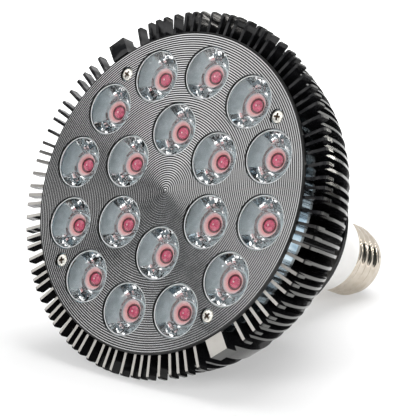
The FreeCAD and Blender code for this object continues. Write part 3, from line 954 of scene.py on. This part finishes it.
# %% Emitters
emitter_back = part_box("led_01")[1].z / MM
emitter_stops = [(0, emitter_back), (3.9, emitter_back), (3.9, 7.0), (3.65, 6.84), (3.4, 6.86),
                 (3.15, 6.92), (2.9, 7.04), (2.65, 7.2), (2.4, 7.42), (2.2, 7.35), (2.0, 7.3),
                 (1.88, 7.42), (1.76, 7.5), (1.4, 7.28), (1.0, 7.08), (0.7, 6.96), (0.3, 6.89),
                 (0, 6.87)]
for number, place in enumerate(lens_places, 1):
    form = bmesh.new()
    swept(form, emitter_stops, 48, place)
    emitter = as_piece(f"emitter_{number:02d}", form, 40)
    for reach, made in emitter_finishes:
        emitter.data.materials.append(made)
    axis = Vector(place) * MM
    for face in emitter.data.polygons:
        out = (Vector(face.center[:2]) - axis).length / MM
        rings_inside = sum(out >= reach for reach, made in emitter_finishes)
        face.material_index = min(rings_inside, len(emitter_finishes) - 1)
    stand_for(emitter, "emitter_red", f"led_{number:02d}")
print("emitter faces:", len(emitter.data.polygons))

# %% [markdown]
# Four cross-head screws hold the face. Their heads are low domes with a tapered cross pressed
# into them, so each is swept and then cut with the two arms of a cross, one arm at a time,
# because two cutters that run through each other spoil a boolean step.

# %% Face screws
screw_back = screws_high.z / MM
screw_turns = (20, 65, 40, 75)
recess_mouth = (1.5, 0.40, -0.4)
recess_foot = (0.6, 0.24, 1.15)
block_faces = ((0, 1, 2, 3), (7, 6, 5, 4), (0, 4, 5, 1), (1, 5, 6, 2), (2, 6, 7, 3),
               (3, 7, 4, 0))
head_stops = [(0, 0.15), (0.8, 0.17), (1.5, 0.26), (1.95, 0.45), (2.15, 0.7),
              (screw_head_radius, 1.0), (screw_head_radius, 1.65), (1.5, 1.65),
              (1.5, screw_back - 0.6), (1.1, screw_back), (0, screw_back)]


def recess_arm(form, place, turn):
    """One arm of a cross recess, as a block that narrows towards its foot."""
    ahead = Vector((math.cos(turn), math.sin(turn), 0))
    side = Vector((-math.sin(turn), math.cos(turn), 0))
    corners = []
    for half_length, half_width, height in (recess_mouth, recess_foot):
        for along, across in square_corners:
            corner = (Vector((*place, height)) + ahead * along * half_length
                      + side * across * half_width)
            corners.append(form.verts.new(corner * MM))
    for face in block_faces:
        form.faces.new([corners[corner] for corner in face])


form = bmesh.new()
for place in screw_places:
    swept(form, head_stops, 40, place)
face_screws = as_piece("cross_head_screws", form, 35)
for arm_turn in (0, 90):
    form = bmesh.new()
    for place, screw_turn in zip(screw_places, screw_turns):
        recess_arm(form, place, math.radians(screw_turn + arm_turn))
    cut_away(face_screws, as_piece("cross_arms", form), 35)
print("screw faces:", len(face_screws.data.polygons))

# %% [markdown]
# The heads are bright nickel, and their recesses are coloured dark brown. Faces of a recess are told
# from the dome by how steep or how deep they are, so no face has to be picked by hand.

# %% Finish of the screws
screw_nickel = finish("screw_nickel", (0.95, 0.92, 0.84), Metallic=0.6, Roughness=0.3)
tint(screw_nickel, noise(screw_nickel, 1.0), (0.90, 0.86, 0.76), (0.98, 0.96, 0.90))
vary(screw_nickel, noise(screw_nickel, 0.5), "Roughness", 0.18, 0.34)
recess_brown = finish("recess_brown", (0.16, 0.10, 0.06), Metallic=0.7, Roughness=0.5)
tint(recess_brown, noise(recess_brown, 0.4), (0.10, 0.06, 0.04), (0.22, 0.15, 0.10))
face_screws.data.materials.append(screw_nickel)
face_screws.data.materials.append(recess_brown)
for face in face_screws.data.polygons:
    out = min(math.hypot(face.center.x / MM - x, face.center.y / MM - y)
              for x, y in screw_places)
    steep = abs(face.normal.z) < 0.75 and out < 1.5
    deep = 0.5 < face.center.z / MM < 1.3 and out < 1.2
    face.material_index = 1 if steep or deep else 0
stand_for(face_screws, "screws_nickel", "face_screws")
print("recess faces:", sum(face.material_index for face in face_screws.data.polygons))

# %% [markdown]
# The cap's sleeve is pressed from thin nickel-plated brass, and its thread is one round wave
# that climbs about the axis. A stack of rings would look wrong from the side, so each point of
# the sleeve gets the radius of the wave at its own turn and height, and the wave fades out
# towards both ends.

# %% Threaded cap
shell_low, shell_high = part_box("screw_shell")
shell_front = shell_low.z / MM
shell_back = shell_high.z / MM
thread_pitch = 3.63
thread_root_radius = 12.2
thread_start = shell_front + 2.0
thread_end = shell_back - 1.8
wall_end = shell_back - 1.0
mouth_radius = 9.6
shell_steps = 144
shell_rows = 120
mouth_stops = ((12.05, shell_back - 0.55), (11.7, shell_back - 0.2), (11.2, shell_back),
               (mouth_radius, shell_back), (mouth_radius, shell_back - 0.4),
               (11.1, shell_back - 0.45), (11.8, wall_end), (11.8, shell_front))


def thread_radius(height, turn):
    """The sleeve's outer radius at a height and a turn."""
    phase = (height - shell_front) / thread_pitch - turn / (2 * math.pi)
    wave = (0.5 - 0.5 * math.cos(2 * math.pi * phase)) ** 0.8
    start = min(1.0, max(0.0, (height - thread_start) / 1.2))
    end = min(1.0, max(0.0, (thread_end - height) / 1.0))
    return thread_root_radius + (thread_crest_radius - thread_root_radius) * wave * start * end


form = bmesh.new()
rings = []
for row in range(shell_rows + 1):
    height = shell_front + (wall_end - shell_front) * row / shell_rows
    radii = [thread_radius(height, 2 * math.pi * number / shell_steps)
             for number in range(shell_steps)]
    rings.append(ring_of_points(form, radii, height))
for radius, height in mouth_stops:
    rings.append(ring_of_points(form, [radius] * shell_steps, height))
join_rings(form, rings, shell_steps, closed=True)
thread = as_piece("threaded_sleeve", form, 40)
warm_nickel = finish("warm_nickel", (0.72, 0.66, 0.57), Metallic=1.0, Roughness=0.2)
tint(warm_nickel, noise(warm_nickel, 3.0), (0.57, 0.51, 0.43), (0.64, 0.58, 0.50))
vary(warm_nickel, noise(warm_nickel, 1.2), "Roughness", 0.06, 0.12)
bump(warm_nickel, noise(warm_nickel, 1.0), 0.006)
thread.data.materials.append(warm_nickel)
stand_for(thread, "cap_nickel", "screw_shell")
print("sleeve faces:", len(thread.data.polygons), "widest radius:",
      round(max(math.hypot(v.co.x, v.co.y) for v in thread.data.vertices) / MM, 2), "mm")

# %% [markdown]
# The other solids already have their real shape, so each only gets its finish. The collar is
# white moulded plastic with a fine grain. The band behind the plate is polished metal whose
# colour drifts in long cloudy patches, and its blue tint is a painted reflection of pale blue
# surroundings. The emitter board is coated white, and its blue-grey tint is painted shade.

# %% Collar, band and board
housing_white = finish("housing_white", (0.93, 0.92, 0.90), Roughness=0.38)
tint(housing_white, noise(housing_white, 12.0), (0.82, 0.81, 0.79), (0.87, 0.86, 0.84))
vary(housing_white, noise(housing_white, 4.0), "Roughness", 0.32, 0.45)
bump(housing_white, noise(housing_white, 0.4), 0.008)
dress("driver_housing", housing_white)
# Painted reflection: the band's metal colour is tinted blue.
cloudy_band_painted_reflection = finish("cloudy_band_painted_reflection", (0.60, 0.70, 0.78), Metallic=1.0, Roughness=0.08)
band_clouds = noise(cloudy_band_painted_reflection, 3.0, 2.0, (1, 1, 0.3))
tint(cloudy_band_painted_reflection, band_clouds, (0.24, 0.34, 0.42), (0.55, 0.66, 0.72))
vary(cloudy_band_painted_reflection, noise(cloudy_band_painted_reflection, 2.0), "Roughness", 0.05, 0.12)
dress("spacer_ring", cloudy_band_painted_reflection)
# Painted shade: the white board is tinted blue-grey.
board_white = finish("board_white", (0.82, 0.83, 0.82), Roughness=0.35)
tint(board_white, noise(board_white, 1.6, 3.0), (0.58, 0.67, 0.70), (0.76, 0.84, 0.88))
dress("led_board", board_white)
print("collar, band and board are dressed")

# %% [markdown]
# The parts inside the housing and at the end of the cap are hidden in the picture, but the bulb
# is seen from all sides and taken apart, so each has the finish of the real thing. They differ
# only in colour, gloss and metal, so a table lists those and one loop makes the finishes.

# %% Cap end and inner parts
inner_finishes = {
    "insulator_dark": ((0.035, 0.025, 0.03), 0.25, 0.0, ["cap_insulator"]),
    "contact_metal": ((0.78, 0.76, 0.70), 0.25, 1.0, ["centre_contact"]),
    "inner_nickel": ((0.75, 0.74, 0.72), 0.3, 1.0, ["board_screws", "housing_screws"]),
    "circuit_green": ((0.03, 0.16, 0.07), 0.35, 0.0, ["driver_board"]),
    "transformer_tape": ((0.75, 0.55, 0.08), 0.4, 0.0, ["transformer"]),
    "capacitor_sleeve": ((0.03, 0.04, 0.10), 0.35, 0.0, ["input_capacitor", "output_capacitor"]),
    "chip_black": ((0.02, 0.02, 0.022), 0.45, 0.0, ["rectifier"]),
    "resistor_body": ((0.35, 0.42, 0.45), 0.5, 0.0, ["fuse_resistor"]),
    "wire_red": ((0.5, 0.02, 0.02), 0.4, 0.0, ["live_wire", "lead_positive"]),
    "wire_white": ((0.75, 0.75, 0.72), 0.4, 0.0, ["neutral_wire"]),
    "wire_black": ((0.015, 0.015, 0.015), 0.4, 0.0, ["lead_negative"]),
}
for name, (colour, roughness, metal, members) in inner_finishes.items():
    made = finish(name, colour, Metallic=metal)
    tint(made, noise(made, 2.0), tuple(part * 0.85 for part in colour),
         tuple(min(1.0, part * 1.15) for part in colour))
    vary(made, noise(made, 1.0), "Roughness", roughness * 0.8, roughness * 1.2)
    bump(made, noise(made, 0.5), 0.01)
    for member in members:
        dress(member, made)
print("inner finishes:", len(inner_finishes))
